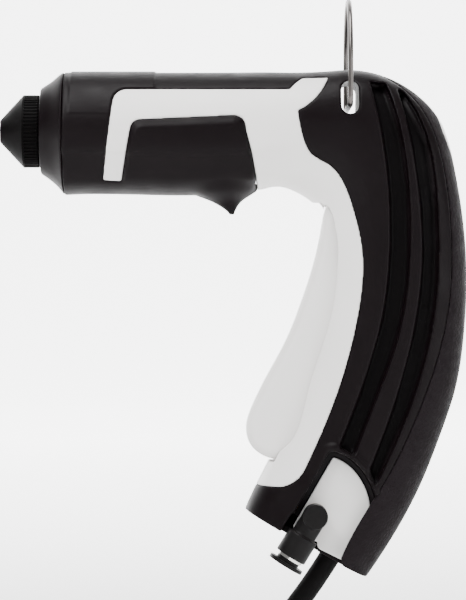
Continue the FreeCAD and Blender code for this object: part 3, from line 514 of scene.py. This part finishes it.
def groove_depth(points, normals):
    """1 on the floor of the grip grooves, fading to 0 at their walls. Deepens the grooves and masks their
    painted shade.
    """
    depth = np.maximum(inside_depth(points, GROOVES[0]), inside_depth(points, GROOVES[1]))
    return smoothstep(depth, 0.2, 1.5) * smoothstep(facing_out(points, normals), 0.05, 0.35)


def between(x, start, start_full, end_full, end):
    """0 outside the range, 1 in its middle part, smooth between."""
    return smoothstep(x, start, start_full) * (1.0 - smoothstep(x, end_full, end))


def hook_root(points):
    """Where the guard hook grows out of the barrel."""
    across = between(points[:, 0], -70.0, -66.0, -36.0, -32.0)
    down = between(points[:, 2], -84.0, -81.0, -72.5, -69.5)
    return across * down * (np.abs(points[:, 1]) > 3.0)


def panel_rise(points, outward):
    """Raised panel with a sloping edge that is broadest along its top."""
    width = 1.6 + 2.4 * smoothstep(points[:, 2], -56.0, -49.0)
    edge = smoothstep(inside_depth(points, PANEL) / width, 0.0, 1.0)
    return PANEL_RISE * (edge * smoothstep(points[:, 2], -74.0, -66.0) * smoothstep(outward, 0.05, 0.35))


def pad_rise(points, normals):
    """Low pad along the top of the barrel."""
    upward = smoothstep(normals[:, 2], 0.05, 0.95) * (points[:, 2] > -45.0)
    start, end = PAD_X
    return PAD_RISE * (upward * between(points[:, 0], start, start + PAD_STEP, end - PAD_STEP, end))


def rim_rise(points, outward):
    """Rim round the upper side of the recess, on the left half only."""
    around = -inside_depth(points, PLATE)
    ridge = between(around, 2.9, 3.7, 4.6, 6.6) * smoothstep(outward, 0.3, 0.6)
    upper = smoothstep(points[:, 0], -13.0, -6.0) * smoothstep(points[:, 2], -212.0, -204.0)
    return RIM_RISE * (ridge * (upper * (points[:, 1] < 0)))


def shape_housing(points, normals):
    outward = facing_out(points, normals)
    rise = panel_rise(points, outward) + pad_rise(points, normals) + rim_rise(points, outward)
    rise -= GROOVE_EXTRA * groove_depth(points, normals)
    return points + normals * rise[:, None]


def shape_cover(points, normals):
    """Let the white covers stand a little proud of the black housing."""
    outward = normals[:, 1] * np.sign(points[:, 1])
    return points + normals * (COVER_RISE * smoothstep(outward, 0.2, 0.7))[:, None]


for side in ("left", "right"):
    rounded(f"{side}_housing", 0.5, 5, shape_housing, hook_root, groove_depth)
    rounded(f"{side}_cover", 0.5, 5, shape_cover)
rounded("back_grip", 0.5, 6)
rounded("trigger", 0.5, 8)
rounded("barrel_nose", 0.4, 4)
rounded("connector_plate", 0.3, 4)
rounded("elbow_body", 0.25, 14)

# ---------------------------------------------------------------- spring copies on their bodies


def pressed_spring(node):
    """Copy of a spring with its own mesh, attached to the spring's body in place of the CAD node."""
    spring = bpy.data.objects.new(f"{node}_coils", NODES[node].data.copy())
    bpy.context.scene.collection.objects.link(spring)
    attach(spring, BODY_OF[node])
    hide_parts(node)
    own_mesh(spring)


pressed_spring("valve_spring")
pressed_spring("carriage_spring")

# ---------------------------------------------------------------- small bevels on plain CAD nodes


def soften_edges(node, width):
    """Small bevels on the sharp edges of a CAD node."""
    obj = NODES[node]
    bevel = obj.modifiers.new("edges", "BEVEL")
    bevel.width = width * MM
    bevel.segments = 2
    bevel.limit_method = "ANGLE"
    bevel.angle_limit = math.radians(35.0)


BEVELS = {"plug_body": 0.8, "inlet_ring": 0.3, "cord_gland": 0.4, "release_ring": 0.2}
for node_name, width in BEVELS.items():
    soften_edges(node_name, width)


# ---------------------------------------------------------------- stage and lights

FLOOR_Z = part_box("cord_coil")[0].z - 0.0005
HALF_WIDTH = 8.0
NEAR_Y = -6.0
BEND_Y = 3.0
BEND_R = 1.2
BEND_STEPS = 12
WALL_TOP = 6.0


def make_stage():
    """Seamless pale sweep: floor, quarter round, wall."""
    material, tree, shader = new_material("backdrop")
    tint(tree, shader, (0.93, 0.93, 0.93), 0.01, noise(tree, 3.0, 2.0))
    shader.inputs["Roughness"].default_value = 0.9
    shader.inputs["Emission Color"].default_value = (1.0, 1.0, 1.0, 1.0)
    coords = tree.nodes.new("ShaderNodeTexCoord")
    distance = tree.nodes.new("ShaderNodeVectorMath")
    distance.operation = "LENGTH"
    tree.links.new(coords.outputs["Object"], distance.inputs[0])
    glow = spread(tree, distance.outputs["Value"], 0.25, 3.2, 0.5, 2.2)
    tree.links.new(glow, shader.inputs["Emission Strength"])
    profile = [(NEAR_Y, 0.0), (BEND_Y, 0.0)]
    for step in range(1, BEND_STEPS + 1):
        a = math.radians(90.0 * step / BEND_STEPS)
        profile.append((BEND_Y + BEND_R * math.sin(a), BEND_R - BEND_R * math.cos(a)))
    profile.append((BEND_Y + BEND_R, WALL_TOP))
    mesh = bmesh.new()
    rows = []
    for y, z in profile:
        rows.append([mesh.verts.new((x, y, FLOOR_Z + z)) for x in (-HALF_WIDTH, HALF_WIDTH)])
    for low, high in zip(rows, rows[1:]):
        mesh.faces.new((low[0], low[1], high[1], high[0]))
    data = bpy.data.meshes.new("backdrop")
    mesh.to_mesh(data)
    mesh.free()
    data.materials.append(material)
    data.polygons.foreach_set("use_smooth", [True] * len(data.polygons))
    backdrop = bpy.data.objects.new("backdrop", data)
    bpy.context.scene.collection.objects.link(backdrop)


def area_light(name, place, aim, size, power):
    data = bpy.data.lights.new(name, "AREA")
    data.shape = "SQUARE"
    data.size = size
    data.energy = power
    light = bpy.data.objects.new(name, data)
    light.location = place
    light.rotation_euler = (Vector(aim) - Vector(place)).to_track_quat("-Z", "Y").to_euler()
    bpy.context.scene.collection.objects.link(light)


def make_lights():
    world = bpy.data.worlds.new("studio")
    world.use_nodes = True
    world.node_tree.nodes["Background"].inputs["Color"].default_value = (1.0, 1.0, 1.0, 1.0)
    world.node_tree.nodes["Background"].inputs["Strength"].default_value = 0.30
    bpy.context.scene.world = world
    aim = CAMERA_AIM
    area_light("top", (-0.15, -0.30, 0.95), aim, 0.7, 22.0)
    area_light("front_left", (-0.60, -0.95, 0.85), aim, 0.5, 16.5)
    area_light("right_fill", (1.1, -0.9, 0.1), aim, 0.5, 7.0)
    area_light("wall", (0.0, 1.2, 1.6), (0.0, 4.0, -0.1), 3.0, 150.0)


make_stage()
make_lights()
